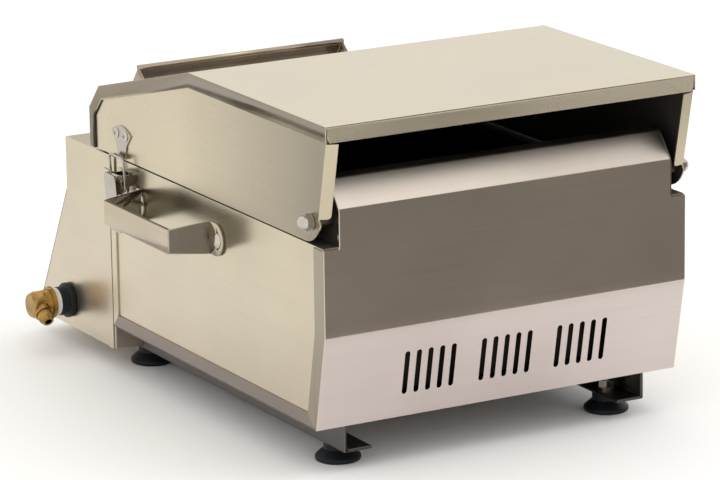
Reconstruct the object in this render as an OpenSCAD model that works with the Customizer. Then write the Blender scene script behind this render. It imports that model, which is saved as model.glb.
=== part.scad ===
// Portable tabletop gas grill in folded stainless sheet.
// X runs across the grill, the controls face -Y, the hinged side is +Y and Z is up.
// The origin lies on the ground under the middle of the overall length and width.

/* [Casing] */
// Width over the casing's side flanges
casing_w = 360; // [356:1:364]
// Thickness of the folded stainless sheet
sheet = 1.5; // [1.2:0.1:1.6]
// Front face of the casing
casing_front = -124; // [-126:0.5:-122]
// Upright rear face of the casing
casing_rear = 276.5; // [275:0.5:278]
// Rear face at the bottom edge, under the slanted vent panel
casing_rear_foot = 259.5; // [255:0.5:264]
// Underside of the casing
casing_bottom = 42.5; // [42:0.5:43]
// Height of the fold between the vent panel and the upright panel
vent_fold = 127; // [120:1:134]
// Top of the full-width part of the casing
casing_top = 203; // [202:0.5:203.5]
// Width of the bottom flange band on each side
band = 12.5; // [10:0.5:15]

/* [Firebox] */
// Half width over the firebox walls
firebox_half = 162.5; // [160:0.5:163]
// Underside of the firebox floor
firebox_floor = 60; // [56:1:64]
// Top edge of the firebox side walls
firebox_top = 204; // [203.5:0.5:204]
// Rear hood: top of its upright face
hood_fold = 235.5; // [234:0.5:237]
// Rear hood: top of its slope
hood_top = 259; // [257:0.5:260]
// Half width of the rear hood
hood_half = 164.7; // [163.5:0.1:165]

/* [Lid] */
// Width over the lid's side flanges
lid_w = 364; // [363.6:0.2:364.4]
// Bottom edge of the lid
lid_bottom = 206; // [205.5:0.5:206.5]
// Front face of the lid
lid_front = -157.5; // [-160:0.5:-155]
// Rear edge of the lid
lid_rear = 287.5; // [287.5]
// Top face of the lid
lid_top = 311; // [310:0.5:312]
// Ridge where the sloping front part meets the flat top
lid_ridge = 42; // [38:1:46]
// Depth of the rear lip
lid_lip = 14.5; // [13:0.5:15]
// Hinge axis, distance behind the origin
hinge_y = 258.5; // [258:0.5:259]
// Hinge axis height
hinge_z = 224.5; // [224:0.5:225]

/* [Control box] */
// Front edge of the sloping control panel
box_front = -287.5; // [-287.5]
// Upright front face above the control panel
box_face = -218; // [-220:1:-216]
// Height of the fold above the control panel
box_fold = 152; // [148:1:156]
// Underside of the control box
box_bottom = 20; // [20:0.5:21]
// Top of the control box
box_top = 202.5; // [201.5:0.5:203]
// Distance of each knob and burner from the middle
burner_x = 85; // [80:1:90]

/* [Handles and latches] */
// Distance from the middle to the outer face of each side handle
handle_reach = 219; // [219]
// Height of the side handles' centre line
handle_z = 170.5; // [168:0.5:173]
// Strip width of the side handles
handle_strip = 22; // [20:1:24]
// Middle of the latches along the grill
latch_y = -93.5; // [-94.5:0.5:-93]

/* [Rails and feet] */
// Outer face of each support rail
rail_x = 150.6; // [148:0.2:153]
// Width of the rails' flat leg
rail_leg = 27.6; // [26:0.2:29]
// Rubber foot diameter
foot_d = 40; // [38:1:42]
// Distance of the feet from the middle
foot_x = 135.8; // [134:0.2:137]
// Rear feet, distance behind the origin
foot_rear = 217; // [210:1:225]
// Front feet, distance in front of the origin
foot_front = -134.5; // [-135:0.5:-134.5]

/* [Hidden] */
$fn = 48;

steel = [0.80, 0.78, 0.72];
steel_dark = [0.48, 0.45, 0.41];
brass = [0.74, 0.58, 0.30];
rubber = [0.06, 0.06, 0.07];
RIGHT = 1;
LEFT = -1;
eps = 0.1;

casing_half = casing_w / 2;
panel_out = casing_half - sheet;      // outer face of the recessed side panels
panel_in = panel_out - sheet;
lid_half = lid_w / 2;
lid_side_out = lid_half - sheet;      // outer face of the recessed lid sides
lid_side_in = lid_side_out - sheet;
firebox_in = firebox_half - sheet;
firebox_front = casing_front + 6;
firebox_rear = 241.5;
side_panel_top = casing_top + 1;

// Outlines in the YZ plane, each listed so that the inside lies to its left
rear_profile = [[casing_rear_foot, casing_bottom], [casing_rear, vent_fold],
                [casing_rear, hood_fold], [casing_rear - 19, hood_top], [firebox_rear, hood_top]];
lid_profile = [[lid_rear, lid_top - lid_lip], [lid_rear, lid_top], [lid_ridge, lid_top],
               [lid_front + 20.5, 265.5], [lid_front, 242.5], [lid_front, lid_bottom]];

// Control panel direction and outward normal
slope_run = [box_face - box_front, box_fold - box_bottom];
slope_dir = slope_run / norm(slope_run);
panel_tilt = atan2(slope_dir.x, slope_dir.y);
valve_y = -219.5;
valve_z = 96;
valve_foot = valve_z - 20;
valve_depth = (valve_y - box_front) * slope_dir.y - (valve_z - box_bottom) * slope_dir.x;
inlet_z = 45.4;

// Latch geometry in the XZ plane
lever_pivot = [187.5, 191];
bail_pivot = [185.5, 182];
bail_top = [187.2, 209.8];
wire_r = 1.2;
bail_half = 13.8;

pin_r = 4;

// ---------- helpers ----------
function unit(v) = v / norm(v);
function inward(a, b) = let (d = unit(b - a)) [-d.y, d.x];
// Point that lies w0 inside the segment before p and w1 inside the segment after it
function corner(p, n0, n1, w0, w1) =
    let (det = n0.x * n1.y - n0.y * n1.x)
    p + [w0 * n1.y - w1 * n0.y, n0.x * w1 - n1.x * w0] / det;
function inner_point(p, w, i) =
    i == 0 ? p[0] + w[0] * inward(p[0], p[1])
    : i == len(p) - 1 ? p[i] + w[i - 1] * inward(p[i - 1], p[i])
    : corner(p[i], inward(p[i - 1], p[i]), inward(p[i], p[i + 1]), w[i - 1], w[i]);
// Closed outline of a folded strip: w holds the width inside each segment of the open line p
function fold(p, w) = concat(p, [for (i = [len(p) - 1 : -1 : 0]) inner_point(p, w, i)]);
function even(p, t) = [for (i = [0 : len(p) - 2]) t];

// Extrudes a YZ outline along X
module along_x(x0, x1) {
    translate([x0, 0, 0]) rotate([90, 0, 90]) linear_extrude(x1 - x0) children();
}
// Extrudes an XZ outline along Y
module along_y(y0, y1) {
    translate([0, y1, 0]) rotate([90, 0, 0]) linear_extrude(y1 - y0) children();
}
module side(s) mirror([s < 0 ? 1 : 0, 0, 0]) children();
module both() for (s = [LEFT, RIGHT]) side(s) children();
module box(a, b) translate(a) cube(b - a);
module rod_x(x0, x1, r) translate([x0, 0, 0]) rotate([0, 90, 0]) cylinder(h = x1 - x0, r = r);
module rod_y(y0, y1, r) translate([0, y0, 0]) rotate([-90, 0, 0]) cylinder(h = y1 - y0, r = r);
module rod_between(a, b, r) {
    d = b - a;
    translate(a) rotate([0, acos(d.z / norm(d)), atan2(d.y, d.x)]) cylinder(h = norm(d), r = r);
}
// Puts a part's Z axis along the control panel's outward normal, from the valve's centre
module on_panel(x) translate([x, valve_y, valve_z]) rotate([90 - panel_tilt, 0, 0]) children();
module at_burners() for (x = [-burner_x, burner_x]) translate([x, 0, 0]) children();
module at_feet() {
    for (x = [-foot_x, foot_x]) for (y = [foot_front, foot_rear]) translate([x, y, 0]) children();
}
module hex_nut(af, h, r) difference() {
    cylinder(h = h, r = af / 2 / cos(30), $fn = 6);
    translate([0, 0, -eps]) cylinder(h = h + 2 * eps, r = r);
}
// Dome nut standing on z = 0 on its washer face, with a blind thread of radius r
module dome_nut(af, r) difference() {
    union() {
        cylinder(h = 1.2, r = af * 0.53);
        translate([0, 0, 1.2]) cylinder(h = 4.8, r = af / 2 / cos(30), $fn = 6);
        translate([0, 0, 6]) intersection() {
            sphere(r = af / 2);
            translate([0, 0, af / 2]) cube(af, center = true);
        }
    }
    translate([0, 0, -eps]) cylinder(h = 8 + eps, r = r);
}

// Low domed screw head of radius r and height h, standing on z = 0 with an upright rim
module domed_head(r, h, rim) {
    rise = h - rim;
    dome = (r * r + rise * rise) / (2 * rise);
    intersection() {
        cylinder(h = h, r = r);
        translate([0, 0, h - dome]) sphere(r = dome);
    }
}

// ---------- casing ----------
slot_pitch = 11.4;
slot_l = 40;
slot_w = 4.8;
slot_groups = [-77.2, -1.7, 73.9];
module vent_slot() {
    square([slot_w, slot_l - slot_w], center = true);
    for (e = [-1, 1]) translate([0, e * (slot_l - slot_w) / 2]) circle(d = slot_w);
}
vent_lean = atan2(casing_rear - casing_rear_foot, vent_fold - casing_bottom);
vent_middle = [casing_rear_foot + 8.2, casing_bottom + 40.6];
rear_flange = 16.3;

module rear_panel() color(steel_dark) {
    difference() {
        along_x(-casing_half, casing_half) polygon(fold(rear_profile, even(rear_profile, sheet)));
        both() box([hood_half, 200, casing_top], [200, 300, 300]);
        for (g = slot_groups) for (i = [-2 : 2])
            translate([g + i * slot_pitch, vent_middle.x, vent_middle.y])
                rotate([90 - vent_lean, 0, 0])
                    translate([0, 0, -10]) linear_extrude(20) vent_slot();
    }
    rear_edge = [rear_profile[0], rear_profile[1], [casing_rear, casing_top]];
    both() along_x(panel_out, casing_half) difference() {
        polygon(fold(rear_edge, [rear_flange, rear_flange]));
        // mitre against the bottom band
        polygon([[200, 0], rear_profile[0], rear_profile[0] + [-rear_flange, band],
                 [200, casing_bottom + band]]);
    }
}

front_flange = 10.5;
tab_reach = 24.5;
tab_drop = 13.5;
module front_panel() color(steel) {
    difference() {
        box([-casing_half, casing_front, casing_bottom + sheet],
            [casing_half, casing_front + sheet, casing_top]);
        burner_holes();
    }
    both() along_x(panel_out, casing_half) {
        polygon([[casing_front, casing_bottom], [casing_front + front_flange, casing_bottom + band],
                 [casing_front + front_flange, side_panel_top], [casing_front, side_panel_top]]);
        translate([casing_front - tab_reach, side_panel_top - tab_drop]) square([tab_reach, tab_drop]);
    }
}

floor_gap = 1.6;
module base_floor() color(steel_dark) {
    floor_rear = casing_rear_foot - floor_gap;
    box([-casing_half, casing_front, casing_bottom], [casing_half, floor_rear, casing_bottom + sheet]);
    both() along_x(panel_out, casing_half)
        polygon([[casing_front, casing_bottom], [floor_rear, casing_bottom],
                 [floor_rear, casing_bottom + floor_gap * band / rear_flange],
                 [casing_rear_foot - rear_flange, casing_bottom + band],
                 [casing_front + front_flange, casing_bottom + band]]);
}

panel_inner_rear = [[casing_rear_foot - 1.8, casing_bottom + sheet], [casing_rear - sheet, vent_fold]];
module side_panel(s) color(steel) side(s) difference() {
    union() {
        along_x(panel_in, panel_out)
            polygon([[casing_front + sheet, casing_bottom + sheet], panel_inner_rear[0],
                     panel_inner_rear[1], [casing_rear - sheet, side_panel_top],
                     [casing_front + sheet, side_panel_top]]);
        box([firebox_half, casing_front + sheet, side_panel_top - sheet],
            [panel_out, casing_rear - sheet, side_panel_top]);
    }
    for (y = handle_bolt_y) translate([0, y, handle_z]) rod_x(170, 190, bolt_r);
}
module side_panel_left() side_panel(LEFT);
module side_panel_right() side_panel(RIGHT);

// ---------- control box ----------
rear_strip = 10.5;
seam = 0.7;      // open seam between the strip and the front panel's flange and tab
mouth = 9;       // the hollow's cut runs this far out of the sloping front
// The box is open at its sloping front, which the control panel closes
module control_box_shell() color(steel) difference() {
    union() {
        along_x(-panel_out, panel_out)
            polygon([[casing_front, box_bottom], [casing_front, box_top], [box_face, box_top],
                     [box_face, box_fold], [box_front, box_bottom]]);
        box([-casing_half, casing_front - rear_strip, box_bottom],
            [casing_half, casing_front - seam, side_panel_top - tab_drop - seam]);
    }
    along_x(-panel_in, panel_in)
        polygon([[casing_front - sheet, box_bottom + sheet], [casing_front - sheet, box_top - sheet],
                 [box_face + sheet, box_top - sheet], [box_face + sheet, box_fold],
                 [box_face - mouth, box_fold], [box_front - mouth, box_bottom + sheet]]);
    translate([0, valve_y, inlet_z]) rod_x(170, 185, 13.4);
    burner_holes();
    for (x = [-foot_x, foot_x]) translate([x, foot_front, 15]) cylinder(h = 15, r = 4.2);
}
module control_panel() color(steel) difference() {
    foot = [box_front, box_bottom] + slope_dir * sheet / slope_dir.y;
    depth = [sheet / slope_dir.y, 0];
    head = [box_face, box_fold];
    along_x(-panel_in, panel_in) polygon([head, head + depth, foot + depth, foot]);
    for (x = [-burner_x, burner_x]) on_panel(x) cylinder(h = 40, r = 5);
    on_panel(0) cylinder(h = 40, r = 10.5);
}

// Holes for the burner tubes and the spark electrodes
electrode_x = 62;
electrode_z = 112;
module burner_holes() {
    for (x = [-burner_x, burner_x]) translate([x, 0, valve_z]) rod_y(-130, -110, 12.8);
    for (x = [-electrode_x, electrode_x]) translate([x, 0, electrode_z]) rod_y(-130, -110, 3.7);
}

// ---------- firebox and what stands in it ----------
shield_z = 118;
wall_top = hood_top - sheet - 0.8;
module firebox() color(steel_dark) difference() {
    union() {
        both() along_x(firebox_in, firebox_half)
            polygon([[firebox_front, firebox_floor], [firebox_rear, firebox_floor],
                     [firebox_rear, 122], [casing_rear - sheet - 0.5, 142],
                     [casing_rear - sheet - 0.5, hood_fold - 1.5],
                     [casing_rear - 20.5, wall_top], [firebox_rear, wall_top], [208, firebox_top],
                     [firebox_front, firebox_top]]);
        // front wall, rear wall and floor
        box([-firebox_in, firebox_front, firebox_floor],
            [firebox_in, firebox_front + sheet, firebox_top]);
        box([-firebox_in, firebox_rear - sheet, firebox_floor],
            [firebox_in, firebox_rear, wall_top]);
        box([-firebox_in, firebox_front, firebox_floor],
            [firebox_in, firebox_rear, firebox_floor + sheet]);
        // ledges that carry the heat shields
        for (y = [firebox_front + sheet, firebox_rear - sheet - 10]) for (x = [-burner_x, burner_x])
            box([x - 32, y, shield_z - sheet], [x + 32, y + 10, shield_z]);
    }
    burner_holes();
    for (x = [-110 : 55 : 110]) for (y = [-60 : 60 : 180])
        translate([x, y, firebox_floor - 5]) cylinder(h = 10, r = 9);
    translate([0, hinge_y, hinge_z]) rod_x(-170, 170, pin_r);
}

rest_z = 184;
module plate_rests() color(steel) both() {
    box([149, firebox_front + 8, rest_z - sheet], [firebox_in, firebox_rear - 8, rest_z]);
    box([firebox_in - sheet, firebox_front + 8, rest_z - 12], [firebox_in, firebox_rear - 8, rest_z]);
}

plate_t = 4;
plate_rim = 16;
rib_pitch = 13;
module hotplate() color([0.13, 0.13, 0.14]) {
    lo = [-158.5, firebox_front + 4, rest_z];
    hi = [158.5, firebox_rear - 4.5, rest_z + plate_rim];
    difference() {
        box(lo, hi);
        box(lo + [3, 3, plate_t], hi + [-3, -3, eps]);
        // grease drain in the flat half, and flame slots between the ribs of the other half
        translate([80, lo.y + 22, rest_z - eps]) cylinder(h = plate_t + 2 * eps, r = 9);
        for (i = [0 : 10]) for (y = [-85, 65])
            box([-151 + i * rib_pitch, y, rest_z - eps],
                [-147 + i * rib_pitch, y + 130, rest_z + plate_t + eps]);
    }
    for (i = [0 : 10])
        box([-144.5 + i * rib_pitch, lo.y + 12, rest_z + plate_t - eps],
            [-140.5 + i * rib_pitch, hi.y - 12, rest_z + plate_t + 3]);
}

module fat_tray() color(steel) {
    lo = [-140, firebox_front + 10, firebox_floor + sheet];
    hi = [140, firebox_rear - 10, firebox_floor + sheet + 13];
    difference() {
        box(lo, hi);
        box(lo + [1, 1, 1], hi + [-1, -1, eps]);
    }
}

burner_r = 12.5;
burner_front = -178;
burner_back = 205;
module burner(x) color(steel_dark) translate([x, 0, valve_z]) difference() {
    rod_y(burner_front, burner_back, burner_r);
    rod_y(burner_front - 1, burner_back - 2, burner_r - 1);
    // flame slots along both shoulders, and the air windows at the mouth
    for (a = [-50, 50]) for (y = [-85 : 12 : 190])
        rotate([0, a, 0]) box([-4, y, 8], [4, y + 1.2, 14]);
    for (a = [0, 90]) rotate([0, a, 0]) box([-5, burner_front + 12, -14], [5, burner_front + 30, 14]);
}
module burner_left() burner(-burner_x);
module burner_right() burner(burner_x);

module burner_cradle() color(steel) difference() {
    box([-130, 196, firebox_floor + sheet + 14], [130, 196 + sheet, valve_z + 17]);
    for (x = [-burner_x, burner_x]) translate([x, 0, valve_z]) rod_y(190, 200, burner_r + 0.1);
    for (x = [-55 : 55 : 55]) translate([x, 0, valve_z]) rod_y(190, 200, 8);
}

module heat_shields() color(steel_dark) at_burners()
    along_y(firebox_front + sheet + 1, firebox_rear - sheet - 1)
        polygon([[-28, shield_z], [-28, shield_z + 1.5], [0, shield_z + 16], [28, shield_z + 1.5],
                 [28, shield_z], [26, shield_z], [0, shield_z + 14], [-26, shield_z]]);

// ---------- gas train ----------
manifold_r = 8;
elbow_root = 150;
module gas_manifold() color(steel) {
    difference() {
        translate([0, valve_y, inlet_z]) rod_x(-110, elbow_root, manifold_r);
        translate([0, valve_y, inlet_z]) rod_x(-107, elbow_root + 1, manifold_r - 1.5);
    }
    riser_z = inlet_z + manifold_r - 2;
    at_burners() translate([0, valve_y, riser_z]) cylinder(h = valve_foot - riser_z, r = 6);
}

plug_r = 7;
spindle_r = 3;
module valve(x) color(brass) difference() {
    union() {
        on_panel(x) translate([0, 0, -14]) cylinder(h = 28, r = 12);
        on_panel(x) translate([0, 0, 14]) cylinder(h = 5, r = 8);
        translate([x, valve_y, valve_foot]) cylinder(h = 17, r = 7);
        translate([x, valve_y, valve_z]) rod_y(5, 24, 6.5);
    }
    on_panel(x) translate([0, 0, -10]) cylinder(h = 20, r = plug_r + 0.05);
    on_panel(x) cylinder(h = 30, r = spindle_r + 0.3);
}
module valve_left() valve(-burner_x);
module valve_right() valve(burner_x);
module tap_plug(x) color(brass) on_panel(x) difference() {
    translate([0, 0, -9.8]) cylinder(h = 19.6, r = plug_r);
    translate([0, 0, -6]) cylinder(h = 20, r = spindle_r + 0.05);
}
module tap_plug_left() tap_plug(-burner_x);
module tap_plug_right() tap_plug(burner_x);
knob_gap = 4.5;
knob_h = 20;
knob_base = valve_depth + knob_gap;
module spindle(x) color(steel) on_panel(x)
    translate([0, 0, -2.5]) cylinder(h = knob_base + 14, r = spindle_r);
module spindle_left() spindle(-burner_x);
module spindle_right() spindle(burner_x);
module knob(x) color([0.1, 0.1, 0.1]) on_panel(x) translate([0, 0, knob_base]) difference() {
    union() {
        cylinder(h = 4, r = 21);
        translate([0, 0, 4]) cylinder(h = 3, r1 = 20, r2 = 17);
        translate([0, 0, 7]) cylinder(h = knob_h - 8, r = 16.5);
        box([-5, -18, 7], [5, 18, knob_h]);
    }
    translate([0, 0, -eps]) cylinder(h = 11.5 + eps, r = spindle_r);
    difference() {
        translate([0, 0, -eps]) cylinder(h = 3, r = 18.5);
        translate([0, 0, -2 * eps]) cylinder(h = 4, r = 6);
    }
}
module knob_left() knob(-burner_x);
module knob_right() knob(burner_x);

module jets() color(brass) at_burners() translate([0, valve_y + 24, valve_z]) {
    difference() {
        rotate([-90, 0, 0]) cylinder(h = 8, r = 7, $fn = 6);
        rod_y(-1, 9, 1.2);
    }
    difference() {
        rod_y(8, 22, 5);
        rod_y(7, 23, 1.2);
    }
}

button_r = 7.9;
button_rise = 8;
module igniter_body() color([0.08, 0.08, 0.08]) on_panel(0) difference() {
    union() {
        translate([0, 0, valve_depth - 38]) cylinder(h = 38, r = 10.4);
        translate([0, 0, valve_depth]) cylinder(h = 3, r = 13);
    }
    translate([0, 0, valve_depth - 28]) cylinder(h = 40, r = button_r + 0.3);
}
module igniter_button() color([0.6, 0.08, 0.06]) on_panel(0)
    translate([0, 0, valve_depth - 18]) cylinder(h = 18 + 3 + button_rise, r = button_r);
module igniter_electrodes() color([0.92, 0.9, 0.86])
    for (x = [-electrode_x, electrode_x]) translate([x, 0, electrode_z]) {
        rod_y(-140, -96, 3.6);
        rod_y(-96, -82, 1);
    }
// Two ignition leads from the piezo's tail to the electrodes, each a bent wire
lead_route = [[4, -203.5, 84.5], [16, -196, 76], [34, -176, 78], [52, -156, 98],
              [electrode_x, -141.5, electrode_z]];
module ignition_leads() color([0.75, 0.75, 0.75]) both() {
    for (i = [0 : len(lead_route) - 2]) rod_between(lead_route[i], lead_route[i + 1], 1.5);
    for (p = lead_route) translate(p) sphere(r = 1.6);
}

// ---------- gas inlet ----------
hub_end = 191.5;
sleeve_end = 197;
module at_inlet() translate([0, valve_y, inlet_z]) children();
module inlet_grommet() color(rubber) at_inlet() rotate([0, 90, 0]) rotate_extrude()
    polygon([[9.3, 173], [16, 173], [16, panel_in], [13.4, panel_in], [13.4, panel_out],
             [15.4, panel_out], [16.4, panel_out + 1.5], [16.4, 183], [15.2, 184.2], [13.6, 184.2],
             [13.4, hub_end], [9.3, hub_end]]);
module inlet_sleeve() color([0.95, 0.95, 0.93]) at_inlet() difference() {
    rod_x(hub_end, sleeve_end, 13);
    rod_x(hub_end - 1, sleeve_end + 1, 9.3);
}
stub_x = 210;
stub_tilt = 31;
stub_l = 19;
stub_r = 7.2;
collar_l = 13.2;
collar_r = 8.6;
module inlet_elbow() color(brass) difference() {
    at_inlet() {
        rod_x(elbow_root, sleeve_end, 9.2);
        rod_x(sleeve_end, sleeve_end + 3, 15);
        rod_x(sleeve_end + 3, 206, 12.6);
        intersection() {
            rotate([0, 90, 0]) translate([0, 0, 203]) cylinder(h = handle_reach - 203, r = 13, $fn = 6);
            rotate([0, 90, 0]) translate([0, 0, 203]) cylinder(h = handle_reach - 203, r1 = 22, r2 = 10.5);
        }
        translate([stub_x, 0, 0]) rotate([-90 - stub_tilt, 0, 0]) {
            cylinder(h = collar_l, r = collar_r);
            cylinder(h = stub_l, r = stub_r);
            translate([0, 0, stub_l]) cylinder(h = 4.5, r1 = stub_r, r2 = 5);
        }
    }
    at_inlet() {
        translate([stub_x, 0, 0]) rotate([-90 - stub_tilt, 0, 0]) cylinder(h = 30, r = 3.2);
        rod_x(elbow_root - 1, stub_x + 1.5, 2.6);
    }
}

// ---------- rails and feet ----------
rail_t = 3;
rail_bottom = box_bottom - rail_t;
rail_rear = 255;
module rail(s) color(steel_dark) side(s) difference() {
    union() {
        box([rail_x - rail_leg, foot_front - 17, rail_bottom], [rail_x, rail_rear, box_bottom]);
        box([rail_x - rail_t, casing_front, rail_bottom], [rail_x, rail_rear, casing_bottom]);
    }
    for (y = [foot_front, foot_rear]) translate([foot_x, y, 0]) cylinder(h = 30, r = 4.2);
}
module rail_left() rail(LEFT);
module rail_right() rail(RIGHT);

foot_r = foot_d / 2;
foot_hub = 12.5;
module feet() color(rubber) at_feet() rotate_extrude()
    polygon([[8.4, 0], [foot_r - 1.2, 0], [foot_r, 1.2], [foot_r, 4], [foot_r - 0.8, 4.8],
             [foot_hub + 1.5, 9.5], [foot_hub, 10.5], [foot_hub, rail_bottom], [4.2, rail_bottom],
             [4.2, 7.5], [8.4, 7.5]]);
module foot_bolts() color(steel) at_feet() {
    translate([0, 0, 2]) cylinder(h = 5.5, r = 13 / 2 / cos(30), $fn = 6);
    translate([0, 0, 7.4]) cylinder(h = 24, r = pin_r);
}
// Washer and nut on the rail, or on the control box floor over the front feet
module foot_nuts() color(steel)
    for (x = [-foot_x, foot_x]) for (p = [[foot_front, box_bottom + sheet], [foot_rear, box_bottom]])
        translate([x, p.x, p.y]) {
            difference() {
                cylinder(h = 1.6, r = 8);
                translate([0, 0, -1]) cylinder(h = 4, r = pin_r);
            }
            translate([0, 0, 1.6]) hex_nut(13, 6.5, pin_r);
        }

// ---------- side handles ----------
grip_front = -56;
grip_rear = 70;
handle_t = 2.5;
handle_foot_h = 29.5;
bolt_r = 3;
tab_l = 22.5;
// The legs splay this far between the grip and the fixing tabs
leg_splay = 5.5;
tab_bolt = 13;
handle_bolt_y = [grip_front - leg_splay - tab_bolt, grip_rear + leg_splay + tab_bolt];
// Tapered leg from the grip's end at edge, splayed towards dir
module handle_leg(edge, dir) intersection() {
    along_y(grip_front - 10, grip_rear + 10)
        polygon([[panel_out, handle_z - handle_foot_h / 2], [handle_reach, handle_z - handle_strip / 2],
                 [handle_reach, handle_z + handle_strip / 2], [panel_out, handle_z + handle_foot_h / 2]]);
    foot = edge + dir * leg_splay;
    translate([0, 0, handle_z - handle_foot_h]) linear_extrude(2 * handle_foot_h)
        polygon([[handle_reach, edge], [panel_out, foot], [panel_out, foot - dir * handle_t],
                 [handle_reach, edge - dir * handle_t]]);
}
// Half-round fixing tab, from the leg's foot at edge towards dir
module handle_tab(edge, dir) along_x(panel_out, panel_out + handle_t) difference() {
    r = handle_foot_h / 2;
    union() {
        translate([edge + dir * (tab_l - r), handle_z]) circle(r = r);
        translate([dir > 0 ? edge - handle_t : edge - tab_l + r, handle_z - r])
            square([tab_l - r + handle_t, 2 * r]);
    }
    translate([edge + dir * tab_bolt, handle_z]) circle(r = bolt_r);
}
module side_handle(s) color(steel) side(s) {
    box([handle_reach - handle_t, grip_front, handle_z - handle_strip / 2],
        [handle_reach, grip_rear, handle_z + handle_strip / 2]);
    handle_leg(grip_front, -1);
    handle_leg(grip_rear, 1);
    handle_tab(grip_front - leg_splay, -1);
    handle_tab(grip_rear + leg_splay, 1);
}
module side_handle_left() side_handle(LEFT);
module side_handle_right() side_handle(RIGHT);
// Low domed M6 screws from outside, with plain nuts inside the side panels
module at_handle_bolts() both() for (y = handle_bolt_y) translate([0, y, handle_z]) children();
module handle_bolts() color(steel) at_handle_bolts() {
    rod_x(panel_in - 8, panel_out + handle_t + eps, bolt_r);
    translate([panel_out + handle_t, 0, 0]) rotate([0, 90, 0]) domed_head(6.7, 3.8, 0.8);
}
module handle_nuts() color(steel) at_handle_bolts()
    translate([panel_in - 5, 0, 0]) rotate([0, 90, 0]) hex_nut(10, 5, bolt_r);

// ---------- lid ----------
lid_widths = even(lid_profile, sheet);
lip_z = lid_top - lid_lip;
module lid_shell() color(steel) {
    difference() {
        along_x(-lid_side_out, lid_side_out) polygon(fold(lid_profile, lid_widths));
        // slits between the rear lip and the side bands, and cut corners of the lip
        both() box([lid_side_out - 0.6, lid_rear - 3, lip_z - eps],
                   [lid_side_out, lid_rear + 1, lid_top - 2.5]);
        both() along_y(lid_rear - 3, lid_rear + 1)
            polygon([[lid_side_out - 2.9, lip_z - eps], [lid_side_out - eps, lip_z - eps],
                     [lid_side_out - eps, lip_z + 4.8]]);
    }
    flange_line = [for (i = [1 : 5]) lid_profile[i]];
    both() along_x(lid_side_out, lid_half) polygon(fold(flange_line, [13.5, 13, 12, 10.5]));
}

// Fold down the rear edge, and the rounded ear that carries the hinge
lid_tail = [[270.7, 228.5], [lid_rear - sheet - 0.2, 297]];
tail_run = lid_tail[1] - lid_tail[0];
tail_lean = atan2(tail_run.x, tail_run.y);
tail_l = norm(tail_run) - 1.6;
tail_w = 11.3;
tail_splay = 12.8;
ear_r = 28;
ear_middle = [247.5, lid_bottom + ear_r];
ear_end = 68.5;
ear_line = [for (i = [0 : 8]) let (a = i * ear_end / 8 - 90) ear_middle + ear_r * [cos(a), sin(a)]];
module lid_side(s) color(steel) side(s) difference() {
    union() {
        along_x(lid_side_in, lid_side_out)
            polygon(concat([for (i = [2 : 4]) inner_point(lid_profile, lid_widths, i)],
                           [[lid_front + sheet, lid_bottom]], ear_line, lid_tail,
                           [[lid_rear - sheet - 0.2, lid_top - sheet]]));
        // hem turned in along the bottom edge
        box([lid_side_in - 7, lid_front + sheet, lid_bottom],
            [lid_side_out, ear_middle.x - 3, lid_bottom + sheet]);
        // flange turned in down the rear edge, with a rounded lower corner
        translate([lid_side_out, lid_tail[0].x, lid_tail[0].y]) rotate([-tail_lean, 0, 0])
            rotate([0, 0, -tail_splay]) rotate([90, 0, 0]) linear_extrude(sheet)
                polygon([[0, 0], [0, tail_l], [-tail_w, tail_l], [-tail_w, 3], [0.9 - tail_w, 0.9],
                         [3 - tail_w, 0]]);
    }
    translate([0, hinge_y, hinge_z]) rod_x(170, 190, pin_r + 0.08);
    for (y = keeper_screw_y) translate([0, y, keeper_screw_z]) rod_x(170, 190, 2);
}
module lid_side_left() lid_side(LEFT);
module lid_side_right() lid_side(RIGHT);

// Folded lid handle: an inclined grip plate with a rolled top edge between two end plates
lid_handle_half = 108.5;
lid_grip_top = [-203.5, 261];
lid_grip_low = [-227.5, 231.5];
lid_handle_t = 2;
module lid_handle() color(steel) {
    along_x(-lid_handle_half, lid_handle_half) {
        polygon(fold([lid_grip_top, lid_grip_low, lid_grip_low + [7, -3]], [lid_handle_t, lid_handle_t]));
        translate(lid_grip_top) circle(r = 2.6);
    }
    both() {
        along_x(lid_handle_half - lid_handle_t, lid_handle_half)
            polygon([lid_grip_top, lid_grip_low, lid_grip_low + [7, -3], [lid_front, 211],
                     [lid_front, 223.5]]);
        box([lid_handle_half - 20, lid_front - lid_handle_t, 211],
            [lid_handle_half, lid_front, 235]);
    }
}

// ---------- latches ----------
keeper_screw_y = [latch_y - 8.9, latch_y + 8.9];
keeper_screw_z = 229;
keeper_t = 1.2;
keeper_low = 207.3;
hook_half = 8;
hook_gap = 2.6;
hook_lip = 3.9;
hook_out = lid_side_out + keeper_t + hook_gap + keeper_t;
// Arched top edge, drawn between the plate's two shoulders
arch_r = 31.5;
arch_middle = [latch_y, 205.4];
arch_half = 37.8;
arch = [for (i = [0 : 12]) let (a = 90 - arch_half + i * arch_half / 6)
        arch_middle + arch_r * [cos(a), sin(a)]];
module keeper(s) color(steel) side(s) difference() {
    union() {
        along_x(lid_side_out, lid_side_out + keeper_t)
            polygon(concat(arch, [[latch_y - 10.3, 219.7], [latch_y - hook_half, 212],
                                  [latch_y - hook_half, keeper_low], [latch_y + hook_half, keeper_low],
                                  [latch_y + hook_half, 212], [latch_y + 10.3, 219.7]]));
        box([lid_side_out, latch_y - hook_half, keeper_low],
            [hook_out, latch_y + hook_half, keeper_low + keeper_t]);
        box([hook_out - keeper_t, latch_y - hook_half, keeper_low],
            [hook_out, latch_y + hook_half, keeper_low + hook_lip]);
    }
    for (y = keeper_screw_y) translate([0, y, keeper_screw_z]) rod_x(170, 190, 2);
}
module keeper_left() keeper(LEFT);
module keeper_right() keeper(RIGHT);
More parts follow.
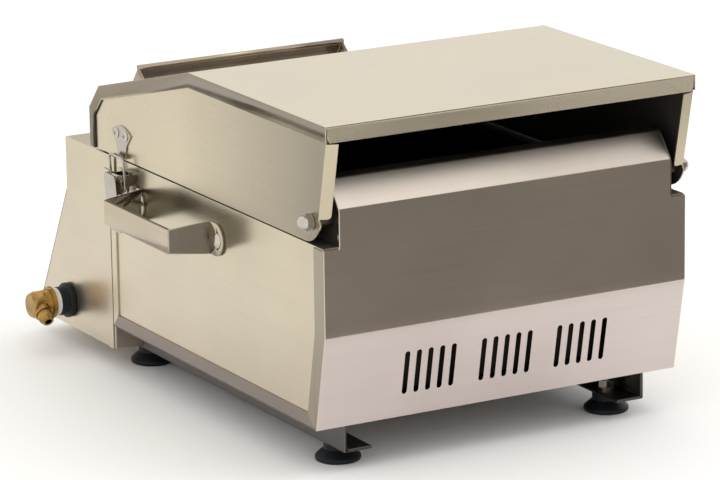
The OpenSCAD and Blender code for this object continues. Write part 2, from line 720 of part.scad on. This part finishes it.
module keeper_screws() color(steel) both() for (y = keeper_screw_y)
    translate([0, y, keeper_screw_z]) {
        rod_x(lid_side_in - 4, lid_side_out + keeper_t + eps, 2);
        translate([lid_side_out + keeper_t, 0, 0]) rotate([0, 90, 0]) difference() {
            domed_head(4.7, 2.2, 0.6);
            // cross recess
            for (a = [0, 90]) rotate([0, 0, a]) translate([-2.4, -0.5, 1]) cube([4.8, 1, 2]);
        }
    }

cheek_gap = 8;
base_half = 11;
tongue_half = 5.5;
cheek_in = 9.8;
cheek_out = 11;
module latch_base(s) color(steel) side(s) difference() {
    union() {
        along_x(panel_out, casing_half) {
            translate([latch_y - base_half, 183]) square([2 * base_half, 13]);
            translate([latch_y - tongue_half, 158]) square([2 * tongue_half, 26]);
            translate([latch_y, 158]) circle(r = tongue_half);
        }
        for (e = [-cheek_gap - sheet, cheek_gap]) {
            box([panel_out, latch_y + e, lever_pivot.y - 6],
                [lever_pivot.x, latch_y + e + sheet, lever_pivot.y + 2]);
            translate([0, latch_y + e, 0]) along_y(0, sheet) translate(lever_pivot) circle(r = 3);
        }
    }
    translate([lever_pivot.x, latch_y, lever_pivot.y]) rod_y(-20, 20, 2);
}
module latch_base_left() latch_base(LEFT);
module latch_base_right() latch_base(RIGHT);
module latch_pins() color(steel) both() translate([lever_pivot.x, latch_y, lever_pivot.y]) {
    rod_y(-11.9, 11.9, 2);
    for (y = [-12, 11.2]) rod_y(y, y + 0.8, 2.8);
}

lever_top = [193.9, 194.5];
lever_tip = [188.4, 139];
lever_t = 1.2;
lever_lean = atan2(lever_top.x - lever_tip.x, lever_top.y - lever_tip.y);
lever_l = norm(lever_top - lever_tip);
module latch_lever(s) color(steel) side(s) difference() {
    union() {
        // outer plate, tapering wider towards a rounded thumb end
        translate([lever_tip.x, latch_y, lever_tip.y]) rotate([0, lever_lean, 0])
            along_x(0, lever_t) {
                polygon([[-8.5, lever_l], [-cheek_out, lever_l - 4], [-12, 8], [12, 8],
                         [cheek_out, lever_l - 4], [8.5, lever_l]]);
                translate([-7, 6]) circle(r = 5);
                translate([7, 6]) circle(r = 5);
                translate([-7, 1]) square([14, 8]);
            }
        for (e = [-cheek_out, cheek_in]) translate([0, latch_y + e, 0]) along_y(0, cheek_out - cheek_in)
            polygon([[lever_top.x, 192.4], [lever_top.x - 2.2, 194], [185.2, 193.4], [183.3, 186],
                     [182.7, 180.5], [184, 178], [187, 176.5], [lever_top.x - 1.8, 176.5]]);
    }
    translate([lever_pivot.x, latch_y, lever_pivot.y]) rod_y(-20, 20, 2.06);
    translate([bail_pivot.x, latch_y, bail_pivot.y]) rod_y(-20, 20, wire_r + 0.06);
}
module latch_lever_left() latch_lever(LEFT);
module latch_lever_right() latch_lever(RIGHT);

// Wire bail: two legs from the lever's cheeks, rounded into a cross bar
bail_round = 4;
bail_lean = atan2(bail_top.x - bail_pivot.x, bail_top.y - bail_pivot.y);
bail_l = norm(bail_top - bail_pivot);
module bail(s) color(steel) side(s)
    translate([bail_pivot.x, latch_y, bail_pivot.y]) rotate([0, bail_lean, 0]) {
        translate([0, 0, bail_l]) rod_y(bail_round - bail_half, bail_half - bail_round, wire_r);
        for (m = [0, 1]) mirror([0, m, 0]) {
            rod_y(cheek_in - 0.2, bail_half, wire_r);
            translate([0, bail_half, 0]) sphere(r = wire_r);
            translate([0, bail_half, 0]) cylinder(h = bail_l - bail_round, r = wire_r);
            translate([0, bail_half - bail_round, bail_l - bail_round]) rotate([0, -90, 0])
                rotate_extrude(angle = 90) translate([bail_round, 0]) circle(r = wire_r);
        }
    }
module bail_left() bail(LEFT);
module bail_right() bail(RIGHT);

// ---------- lid hinge ----------
washer_in = lid_side_out + 0.3;
module hinge_pins() color(steel) both() translate([0, hinge_y, hinge_z]) {
    rod_x(firebox_in - 5, washer_in + 7, pin_r);
    rotate([0, 90, 0]) translate([0, 0, firebox_in - 5]) cylinder(h = 5, r = 13 / 2 / cos(30), $fn = 6);
}
module hinge_spacers() color(steel_dark) both() translate([0, hinge_y, hinge_z]) difference() {
    rod_x(firebox_half, lid_side_in - 0.3, 6);
    rod_x(firebox_half - 1, lid_side_in, pin_r);
}
module hinge_nuts() color(steel) both() translate([washer_in, hinge_y, hinge_z])
    rotate([0, 90, 0]) dome_nut(13, pin_r);

rear_panel();
front_panel();
base_floor();
side_panel_left();
side_panel_right();
control_box_shell();
control_panel();
firebox();
plate_rests();
hotplate();
fat_tray();
burner_left();
burner_right();
heat_shields();
burner_cradle();
gas_manifold();
valve_left();
valve_right();
tap_plug_left();
tap_plug_right();
spindle_left();
spindle_right();
knob_left();
knob_right();
jets();
igniter_body();
igniter_button();
igniter_electrodes();
ignition_leads();
inlet_elbow();
inlet_sleeve();
inlet_grommet();
rail_left();
rail_right();
feet();
foot_bolts();
foot_nuts();
side_handle_left();
side_handle_right();
handle_bolts();
handle_nuts();
lid_shell();
lid_side_left();
lid_side_right();
lid_handle();
keeper_left();
keeper_right();
keeper_screws();
latch_base_left();
latch_base_right();
latch_lever_left();
latch_lever_right();
bail_left();
bail_right();
latch_pins();
hinge_pins();
hinge_spacers();
hinge_nuts();
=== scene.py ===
import math

import bmesh
import bpy
from mathutils import Matrix, Vector

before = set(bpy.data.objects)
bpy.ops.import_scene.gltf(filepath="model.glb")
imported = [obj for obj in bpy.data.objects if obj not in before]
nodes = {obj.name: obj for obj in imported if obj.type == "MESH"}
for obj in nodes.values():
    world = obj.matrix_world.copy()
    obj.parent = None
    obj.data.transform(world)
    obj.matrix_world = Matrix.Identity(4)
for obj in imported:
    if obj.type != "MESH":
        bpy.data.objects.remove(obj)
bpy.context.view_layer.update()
MM = 0.001


# ---------------------------------------------------------------- node helpers

def add(tree, kind, **settings):
    """A new node of that kind with those properties."""
    made = tree.nodes.new(kind)
    for name, value in settings.items():
        setattr(made, name, value)
    return made


def link(tree, source, target):
    tree.links.new(source, target)


def feed(tree, socket, value):
    """Gives the socket a number, a colour or another node's output."""
    if isinstance(value, tuple):
        socket.default_value = (*value, 1.0)
    elif isinstance(value, (int, float)):
        socket.default_value = value
    else:
        link(tree, value, socket)


def material(name):
    """A new material with one Principled shader; returns (material, tree, shader)."""
    made = bpy.data.materials.new(name)
    made.use_nodes = True
    tree = made.node_tree
    tree.nodes.clear()
    output = add(tree, "ShaderNodeOutputMaterial")
    shader = add(tree, "ShaderNodeBsdfPrincipled")
    link(tree, shader.outputs[0], output.inputs[0])
    return made, tree, shader


def noise(tree, vector, scale, detail=2.0, roughness=0.5):
    made = add(tree, "ShaderNodeTexNoise")
    made.inputs["Scale"].default_value = scale
    made.inputs["Detail"].default_value = detail
    made.inputs["Roughness"].default_value = roughness
    link(tree, vector, made.inputs["Vector"])
    return made.outputs["Fac"]


def stretched(tree, vector, scale):
    """The vector scaled along each axis."""
    made = add(tree, "ShaderNodeMapping")
    made.inputs["Scale"].default_value = scale
    link(tree, vector, made.inputs["Vector"])
    return made.outputs[0]


def remap(tree, value, low, high, to_low=0.0, to_high=1.0):
    made = add(tree, "ShaderNodeMapRange")
    for socket, number in zip(made.inputs[1:5], (low, high, to_low, to_high)):
        socket.default_value = number
    link(tree, value, made.inputs[0])
    return made.outputs[0]


def spread(tree, grain, to_low, to_high):
    """A noise, which mostly lies between 0.3 and 0.7, spread over another range."""
    return remap(tree, grain, 0.3, 0.7, to_low, to_high)


def where(tree, value, threshold, width):
    """0 below the threshold and 1 above it, with a soft step of the given width."""
    return remap(tree, value, threshold - width / 2, threshold + width / 2)


def maths(tree, operation, a, b=0.0):
    made = add(tree, "ShaderNodeMath", operation=operation)
    feed(tree, made.inputs[0], a)
    feed(tree, made.inputs[1], b)
    return made.outputs[0]


def vector_maths(tree, operation, a):
    """A vector maths node fed with a; its other inputs are left to the caller."""
    made = add(tree, "ShaderNodeVectorMath", operation=operation)
    link(tree, a, made.inputs[0])
    return made


def split(tree, vector):
    """The vector's three components."""
    made = add(tree, "ShaderNodeSeparateXYZ")
    link(tree, vector, made.inputs[0])
    return made.outputs


def mixed(tree, factor, a, b):
    """Colour a where factor is 0 and colour b where it is 1."""
    made = add(tree, "ShaderNodeMix", data_type="RGBA")
    factor_socket, a_socket, b_socket = made.inputs[0], made.inputs[6], made.inputs[7]
    feed(tree, factor_socket, factor)
    feed(tree, a_socket, a)
    feed(tree, b_socket, b)
    return made.outputs[2]


def bump(tree, shader, height, strength, distance):
    made = add(tree, "ShaderNodeBump")
    made.inputs["Strength"].default_value = strength
    made.inputs["Distance"].default_value = distance
    link(tree, height, made.inputs["Height"])
    link(tree, made.outputs[0], shader.inputs["Normal"])


# ---------------------------------------------------------------- materials

ALONG = 7           # streaks per metre along the brushing
ACROSS = 900        # and across it
SIDEWAYS = 0.7      # how far along X a face looks before it counts as an end
# near-black, matte painted shade for the grill's inner faces, which are dark only for lack of light
PAINTED_SHADE = (0.035, 0.03, 0.025)
SHADE_ROUGHNESS = 0.85
SATIN = 0.2         # roughness added above satin_above
STREAK_GLOSS = 0.012
CLOUD_GLOSS = 0.03
CLOUD_SHADE = 0.04


def streaks_along(tree, place, sideways):
    """Fine brushing streaks: along X, or along Y on the faces that look along X."""
    brushing = add(tree, "ShaderNodeMix", data_type="VECTOR")
    link(tree, sideways, brushing.inputs[0])
    link(tree, stretched(tree, place, (ALONG, ACROSS, ACROSS)), brushing.inputs[4])
    link(tree, stretched(tree, place, (ACROSS, ALONG, ACROSS)), brushing.inputs[5])
    return noise(tree, brushing.outputs[1], 1.0)


def turned_towards(tree, place, normal, centre):
    """1 on the faces turned towards the centre."""
    away = vector_maths(tree, "SUBTRACT", place)
    away.inputs[1].default_value = centre
    facing = vector_maths(tree, "DOT_PRODUCT", away.outputs[0])
    link(tree, normal, facing.inputs[1])
    return remap(tree, facing.outputs["Value"], 0.0, -0.004)


def steel(name, colour, rough, end_colour=None, low_colour=None, low_band=(0.19, 0.04),
          rear_colour=None, rear_band=(0.02, 0.27), inner_colour=None, shade_centre=None,
          dark_top=False, satin_above=None, streak=0.03):
    """Brushed stainless sheet: fine streaks along the brushing, soft mottling in colour and gloss.
    end_colour tints the faces that look along X, low_colour the foot of the piece, rear_colour its
    rear end and inner_colour the faces that don't look outwards along X; on the lid, the rear panel
    and the side handles these tints are painted dark reflection and painted shade, and the rear
    panel's lighter foot is a painted reflection of the pale floor. The shade centre, when given,
    paints near-black shade on the faces turned towards that point, and dark_top on those that look
    up. The piece is more satin above the height satin_above."""
    made, tree, shader = material(name)
    coordinates = add(tree, "ShaderNodeTexCoord")
    place = coordinates.outputs["Object"]
    normal = coordinates.outputs["Normal"]
    normal_x, _, normal_z = split(tree, normal)
    x, y, z = split(tree, place)
    level_x = maths(tree, "ABSOLUTE", normal_x)
    sideways = where(tree, level_x, SIDEWAYS, 0.1)
    streaks = streaks_along(tree, place, sideways)
    clouds = noise(tree, place, 11.0, 3.0)
    blush = noise(tree, stretched(tree, place, (5, 5, 9)), 1.0)
    pinker = tuple(c * k for c, k in zip(colour, (0.99, 0.94, 0.98)))
    tone = mixed(tree, remap(tree, blush, 0.4, 0.66, 0.0, 0.5), colour, pinker)
    if low_colour:
        tone = mixed(tree, remap(tree, z, *low_band), tone, low_colour)
    if rear_colour:
        flat_side = maths(tree, "MULTIPLY", remap(tree, y, *rear_band), where(tree, level_x, 0.99, 0.01))
        tone = mixed(tree, flat_side, tone, rear_colour)
    if end_colour:
        tone = mixed(tree, sideways, tone, end_colour)
    if inner_colour:
        outward = maths(tree, "MULTIPLY", normal_x, maths(tree, "SIGN", x))
        tone = mixed(tree, where(tree, outward, 0.5, 0.4), inner_colour, tone)
    scale = vector_maths(tree, "SCALE", tone)
    link(tree, maths(tree, "ADD", spread(tree, streaks, 1 - streak, 1 + streak),
                     spread(tree, clouds, -CLOUD_SHADE, CLOUD_SHADE)), scale.inputs[3])
    tone = scale.outputs[0]
    gloss = maths(tree, "ADD", spread(tree, streaks, -STREAK_GLOSS, STREAK_GLOSS),
                  spread(tree, clouds, rough - CLOUD_GLOSS, rough + CLOUD_GLOSS))
    if satin_above:
        satin = remap(tree, z, satin_above - MM, satin_above + MM, 0.0, SATIN)
        gloss = maths(tree, "ADD", gloss, satin)
    # painted shade: faces turned towards the shade centre, or with dark_top the faces that look up, turn
    # near-black and matte where shade falls inside the grill
    if shade_centre or dark_top:
        looks_up = where(tree, normal_z, 0.4, 0.2)
        painted_shade_mask = looks_up if dark_top else turned_towards(tree, place, normal, shade_centre)
        tone = mixed(tree, painted_shade_mask, tone, PAINTED_SHADE)
        link(tree, maths(tree, "SUBTRACT", 1.0, painted_shade_mask), shader.inputs["Metallic"])
        gloss = maths(tree, "MAXIMUM", gloss, maths(tree, "MULTIPLY", painted_shade_mask, SHADE_ROUGHNESS))
    else:
        shader.inputs["Metallic"].default_value = 1.0
    link(tree, tone, shader.inputs["Base Color"])
    link(tree, gloss, shader.inputs["Roughness"])
    bump(tree, shader, streaks, 0.04, 0.02 * MM)
    return made


def plain(name, colour, rough, metallic=0.0, variation=0.12, scale=60.0, specular=0.5):
    """A cast, moulded or turned surface: slight colour variation, gloss spread and fine relief."""
    made, tree, shader = material(name)
    place = add(tree, "ShaderNodeTexCoord").outputs["Object"]
    fine = noise(tree, place, scale * 12, 3.0, 0.6)
    broad = noise(tree, place, scale, 3.0, 0.6)
    dark = tuple(c * (1 - variation) for c in colour)
    light = tuple(min(1.0, c * (1 + variation)) for c in colour)
    link(tree, mixed(tree, spread(tree, broad, 0, 1), dark, light), shader.inputs["Base Color"])
    link(tree, spread(tree, broad, rough - 0.05, rough + 0.05), shader.inputs["Roughness"])
    shader.inputs["Metallic"].default_value = metallic
    shader.inputs["Specular IOR Level"].default_value = specular
    bump(tree, shader, fine, 0.15, 0.05 * MM)
    return made


CREAM = (0.57, 0.515, 0.385)
PINK = (0.61, 0.54, 0.43)
# painted dark reflection for the lid's side flanges
PAINTED_DARK_BAND = (0.25, 0.215, 0.165)
LID_MIDDLE = (0, 0.06, 0.24)
HOOD_FOOT = 0.236   # just above the fold between the rear panel's upright face and its hood slope
looks = {
    "brushed_steel": steel("brushed_steel_look", CREAM, 0.3, low_colour=PINK),
    "heated_steel": steel("heated_steel_look", (0.16, 0.135, 0.105), 0.42),
    "hotplate_iron": plain("hotplate_iron_look", (0.03, 0.028, 0.026), 0.5, 0.6, 0.3),
    "tray_aluminium": plain("tray_aluminium_look", (0.70, 0.70, 0.69), 0.4, 1.0),
    "pipe_steel": plain("pipe_steel_look", (0.55, 0.54, 0.51), 0.3, 1.0),
    "valve_brass": plain("valve_brass_look", (0.62, 0.42, 0.15), 0.3, 1.0),
    "inlet_brass": plain("inlet_brass_look", (0.40, 0.25, 0.08), 0.2, 1.0, 0.4, 55.0),
    "knob_plastic": plain("knob_plastic_look", (0.02, 0.02, 0.022), 0.45),
    "button_plastic": plain("button_plastic_look", (0.25, 0.01, 0.01), 0.25),
    "electrode_ceramic": plain("electrode_ceramic_look", (0.82, 0.80, 0.75), 0.2),
    "lead_sleeve": plain("lead_sleeve_look", (0.35, 0.05, 0.03), 0.5),
    "white_nylon": plain("white_nylon_look", (0.72, 0.71, 0.67), 0.35, 0.0, 0.05),
    "black_rubber": plain("black_rubber_look", (0.006, 0.008, 0.011), 0.45, 0.0, 0.25, specular=0.25),
    "fastener_steel": plain("fastener_steel_look", (0.52, 0.495, 0.44), 0.1, 1.0, 0.06),
    "latch_steel": plain("latch_steel_look", (0.42, 0.395, 0.34), 0.13, 1.0, 0.08),
    # the lid shell's side flanges get a painted dark reflection, and its inner faces painted shade
    "lid_sheet": steel("lid_sheet_look", CREAM, 0.26, end_colour=PAINTED_DARK_BAND, shade_centre=LID_MIDDLE),
    # the lid sides darken towards their rear with painted shade, and their inner faces get painted shade
    "lid_end": steel("lid_end_look", (0.58, 0.515, 0.38), 0.28, rear_colour=(0.29, 0.255, 0.195),
                     shade_centre=LID_MIDDLE),
    # the side panels' upward faces, under the lid, get painted shade
    "side_sheet": steel("side_sheet_look", CREAM, 0.22, low_colour=PINK, dark_top=True),
    # the rear panel's side flanges get a painted dark reflection, and its vent slope below the fold a
    # lighter painted reflection of the pale floor
    "rear_sheet": steel("rear_sheet_look", (0.50, 0.455, 0.40), 0.16, end_colour=(0.34, 0.295, 0.23),
                        low_colour=(0.62, 0.545, 0.515), low_band=(0.135, 0.12),
                        satin_above=HOOD_FOOT),
    "floor_sheet": steel("floor_sheet_look", (0.27, 0.235, 0.205), 0.3),
    "rail_sheet": steel("rail_sheet_look", (0.13, 0.12, 0.115), 0.38),
    # the handles' legs and inner faces get a painted dark reflection
    "handle_sheet": steel("handle_sheet_look", (0.51, 0.44, 0.335), 0.22,
                          inner_colour=(0.20, 0.185, 0.155), streak=0.04),
    "lid_grip_sheet": steel("lid_grip_sheet_look", (0.40, 0.335, 0.26), 0.24, streak=0.04),
    # the firebox is painted near-black: painted shade for the grill's dark inside
    "sooty_sheet": plain("sooty_sheet_look", PAINTED_SHADE, 0.7, specular=0.2),
}
NODE_LOOKS = {
    "lid_shell": "lid_sheet", "lid_side_left": "lid_end", "lid_side_right": "lid_end",
    "side_panel_left": "side_sheet", "side_panel_right": "side_sheet",
    "rear_panel": "rear_sheet", "base_floor": "floor_sheet", "rail_left": "rail_sheet",
    "rail_right": "rail_sheet", "side_handle_left": "handle_sheet", "side_handle_right": "handle_sheet",
    "firebox": "sooty_sheet", "lid_handle": "lid_grip_sheet",
}


def dress(node):
    """Gives each of the node's material slots its look: the node's own, or the one named like the slot."""
    for place in nodes[node].material_slots:
        place.material = looks[NODE_LOOKS.get(node, place.material.name.split(".")[0])]


for node in nodes:
    dress(node)


# ---------------------------------------------------------------- rounded folds

FLAT_ANGLE = math.radians(0.3)      # faces closer than this to one plane are joined
FOLD_ANGLE = math.radians(10)       # edges that turn less stay as they are
EASE_ANGLE = math.radians(32)
BROAD_FACE = 3 * MM                 # a narrower face is the sheet's cut edge
LONG_FOLD = 8 * MM
CUT_SHARE = 0.14                    # a cut edge's rounding, as a share of a fold's
WELD = 0.002 * MM


def geometry_tree(name):
    """A new geometry node tree; returns (tree, incoming geometry, outgoing geometry)."""
    tree = bpy.data.node_groups.new(name, "GeometryNodeTree")
    for way in ("INPUT", "OUTPUT"):
        tree.interface.new_socket("Geometry", in_out=way, socket_type="NodeSocketGeometry")
    return tree, add(tree, "NodeGroupInput").outputs[0], add(tree, "NodeGroupOutput").inputs[0]


def on_domain(tree, value, domain):
    """The field as it is on that domain."""
    made = add(tree, "GeometryNodeFieldOnDomain", domain=domain, data_type="FLOAT")
    link(tree, value, made.inputs[0])
    return made.outputs[0]


def fold_weights(share):
    """Geometry nodes that weigh each edge for the bevel: 1 on a fold between two broad faces, and the
    given share on a cut edge."""
    tree, incoming, outgoing = geometry_tree(f"fold_weights_{share}")
    turn = add(tree, "GeometryNodeInputMeshEdgeAngle").outputs["Unsigned Angle"]
    ends = add(tree, "GeometryNodeInputMeshEdgeVertices")
    gap = vector_maths(tree, "DISTANCE", ends.outputs["Position 1"])
    link(tree, ends.outputs["Position 2"], gap.inputs[1])
    length = gap.outputs["Value"]
    area = add(tree, "GeometryNodeInputMeshFaceArea").outputs[0]
    # the mean over an edge's two faces of 1/area is dominated by the smaller face
    inverse = on_domain(tree, on_domain(tree, maths(tree, "DIVIDE", 1.0, area), "FACE"), "EDGE")
    width = maths(tree, "DIVIDE", maths(tree, "DIVIDE", 1.0, inverse), length)
    fold = maths(tree, "MULTIPLY", maths(tree, "GREATER_THAN", width, BROAD_FACE),
                 maths(tree, "GREATER_THAN", length, LONG_FOLD))
    weight = maths(tree, "MULTIPLY", maths(tree, "GREATER_THAN", turn, FOLD_ANGLE),
                   maths(tree, "MAXIMUM", fold, share))
    store = add(tree, "GeometryNodeStoreNamedAttribute", data_type="FLOAT", domain="EDGE")
    store.inputs["Name"].default_value = "bevel_weight_edge"
    link(tree, incoming, store.inputs["Geometry"])
    link(tree, weight, store.inputs["Value"])
    link(tree, store.outputs[0], outgoing)
    return tree


def clean_normals():
    """Geometry nodes that drop the imported normals and merge the corners they had split."""
    tree, incoming, outgoing = geometry_tree("clean_normals")
    drop = add(tree, "GeometryNodeRemoveAttribute")
    drop.inputs["Name"].default_value = "custom_normal"
    merge = add(tree, "GeometryNodeMergeByDistance")
    merge.inputs["Distance"].default_value = WELD
    smooth = add(tree, "GeometryNodeSetShadeSmooth")
    smooth.inputs["Shade Smooth"].default_value = True
    link(tree, incoming, drop.inputs[0])
    link(tree, drop.outputs[0], merge.inputs["Geometry"])
    link(tree, merge.outputs[0], smooth.inputs["Geometry"])
    link(tree, smooth.outputs[0], outgoing)
    return tree


CLEAN_NORMALS = clean_normals()
FOLD_WEIGHTS = {share: fold_weights(share) for share in (0.0, CUT_SHARE)}


def node_modifier(piece, tree):
    piece.modifiers.new(tree.name, "NODES").node_group = tree


def flatten(piece):
    """Drops the imported normals and joins the triangles of each flat face."""
    node_modifier(piece, CLEAN_NORMALS)
    flat = piece.modifiers.new("flat_faces", "DECIMATE")
    flat.decimate_type = "DISSOLVE"
    flat.angle_limit = FLAT_ANGLE


def bevel(piece, name, limit, width, segments, clamp):
    made = piece.modifiers.new(name, "BEVEL")
    made.limit_method = limit
    made.width = width
    made.segments = segments
    made.use_clamp_overlap = clamp
    made.harden_normals = True
    return made


def soften(piece, fold, share, clamp):
    """Rounds the folds of a sheet piece by fold, and its cut edges by that share of it."""
    flatten(piece)
    node_modifier(piece, FOLD_WEIGHTS[share])
    bevel(piece, "rounded_folds", "WEIGHT", fold, 3, clamp).miter_outer = "MITER_ARC"


def ease(piece, width):
    """Rounds every clear edge of a cast, moulded or turned piece."""
    flatten(piece)
    bevel(piece, "eased_edges", "ANGLE", width, 2, True).angle_limit = EASE_ANGLE


SHEETS = {
    "rear_panel": 1.6, "side_panel_left": 1.6, "side_panel_right": 1.6, "front_panel": 1.6,
    "base_floor": 1.6, "control_box_shell": 1.4, "control_panel": 1.4, "firebox": 1.6,
    "lid_shell": 0.9, "lid_side_left": 0.9, "lid_side_right": 0.9, "lid_handle": 0.9,
    "side_handle_left": 1.1, "side_handle_right": 1.1, "rail_left": 1.6, "rail_right": 1.6,
}
# these keep sharp cut edges, because rounding them broke the narrow tabs of the side handles
SHARP_CUTS = ("lid_shell", "lid_handle", "side_handle_left", "side_handle_right")
# full folds broke the lid shell's rear lip, so its bevels are held back by its smallest edges
CLAMPED = ("lid_shell",)
for node, radius in SHEETS.items():
    soften(nodes[node], radius * MM, 0.0 if node in SHARP_CUTS else CUT_SHARE, node in CLAMPED)

EASED = {
    "inlet_elbow": 0.6, "inlet_grommet": 0.8, "inlet_sleeve": 0.4, "feet": 0.8, "knob_left": 1.0,
    "knob_right": 1.0, "igniter_body": 0.8, "igniter_button": 1.0, "hinge_nuts": 0.45, "handle_bolts": 0.5,
    "keeper_screws": 0.2, "keeper_left": 0.35, "keeper_right": 0.35, "latch_base_left": 0.3,
    "latch_base_right": 0.3, "latch_lever_left": 0.4, "latch_lever_right": 0.4, "hotplate": 0.8,
}
for node, radius in EASED.items():
    ease(nodes[node], radius * MM)


# ---------------------------------------------------------------- floor, light and camera

def in_scene(name, data):
    """A new object of that data, in the scene."""
    made = bpy.data.objects.new(name, data)
    bpy.context.scene.collection.objects.link(made)
    return made


def floor(half_width):
    mesh = bpy.data.meshes.new("floor")
    builder = bmesh.new()
    bmesh.ops.create_grid(builder, x_segments=1, y_segments=1, size=half_width)
    builder.to_mesh(mesh)
    builder.free()
    look, tree, shader = material("floor_look")
    speckle = noise(tree, add(tree, "ShaderNodeTexCoord").outputs["Object"], 3.0)
    link(tree, mixed(tree, speckle, (0.96, 0.96, 0.96), (0.975, 0.975, 0.975)), shader.inputs["Base Color"])
    shader.inputs["Roughness"].default_value = 0.9
    shader.inputs["Specular IOR Level"].default_value = 0.1
    mesh.materials.append(look)
    in_scene("floor", mesh)


def soft_light(name, place, aim, size, power, colour):
    data = bpy.data.lights.new(name, "AREA")
    data.shape = "RECTANGLE"
    data.size, data.size_y = size
    data.energy = power
    data.color = colour
    made = in_scene(name, data)
    made.location = place
    made.rotation_euler = (Vector(aim) - Vector(place)).to_track_quat("-Z", "Y").to_euler()


def reflector(name, corner_a, corner_b, brightness):
    """An upright card that only mirror-like reflections see: the dark side of the studio."""
    mesh = bpy.data.meshes.new(name)
    (ax, ay, az), (bx, by, bz) = corner_a, corner_b
    mesh.from_pydata([(ax, ay, az), (bx, by, az), (bx, by, bz), (ax, ay, bz)], [], [(0, 1, 2, 3)])
    look = bpy.data.materials.new(name + "_look")
    look.use_nodes = True
    tree = look.node_tree
    tree.nodes.clear()
    glow = add(tree, "ShaderNodeEmission")
    glow.inputs[0].default_value = (*brightness, 1.0)
    link(tree, glow.outputs[0], add(tree, "ShaderNodeOutputMaterial").inputs[0])
    mesh.materials.append(look)
    made = in_scene(name, mesh)
    made.visible_camera = made.visible_diffuse = made.visible_shadow = False
    made.visible_transmission = False


def surroundings(colour, strength):
    """An even world of that colour and strength."""
    world = bpy.data.worlds.new("studio")
    bpy.context.scene.world = world
    world.use_nodes = True
    background = world.node_tree.nodes["Background"]
    background.inputs[0].default_value = (*colour, 1)
    background.inputs[1].default_value = strength


def photo_camera(place, right, up, back, lens):
    """The camera at the photograph's place, turned so that those are its own axes."""
    data = bpy.data.cameras.new("camera")
    data.lens = lens
    data.sensor_width = 36
    data.clip_end = 60
    made = in_scene("camera", data)
    turn = Matrix((right, up, back)).transposed().to_4x4()
    made.matrix_world = Matrix.Translation(place) @ turn
    bpy.context.scene.camera = made


floor(half_width=12.0)
reflector("dark_card", (-1.1, 0.5, 0.0), (0.10, 0.5, 0.5), (0.34, 0.315, 0.28))
reflector("front_card", (-0.9, -0.75, 0.0), (0.12, -0.75, 0.34), (0.05, 0.045, 0.04))
surroundings((1.0, 0.985, 0.96), 1.12)
soft_light("overhead", (-0.9, 0.9, 2.4), (0, 0.1, 0.1), (1.4, 1.4), 9, (1, 0.99, 0.96))
photo_camera(place=(1.8548, 3.3343, 1.1265),
             right=(-0.87083, 0.49138, -0.01425),
             up=(-0.13667, -0.21417, 0.96719),
             back=(0.47221, 0.84420, 0.25366),
             lens=217.9)
bpy.context.scene.view_settings.view_transform = "Standard"
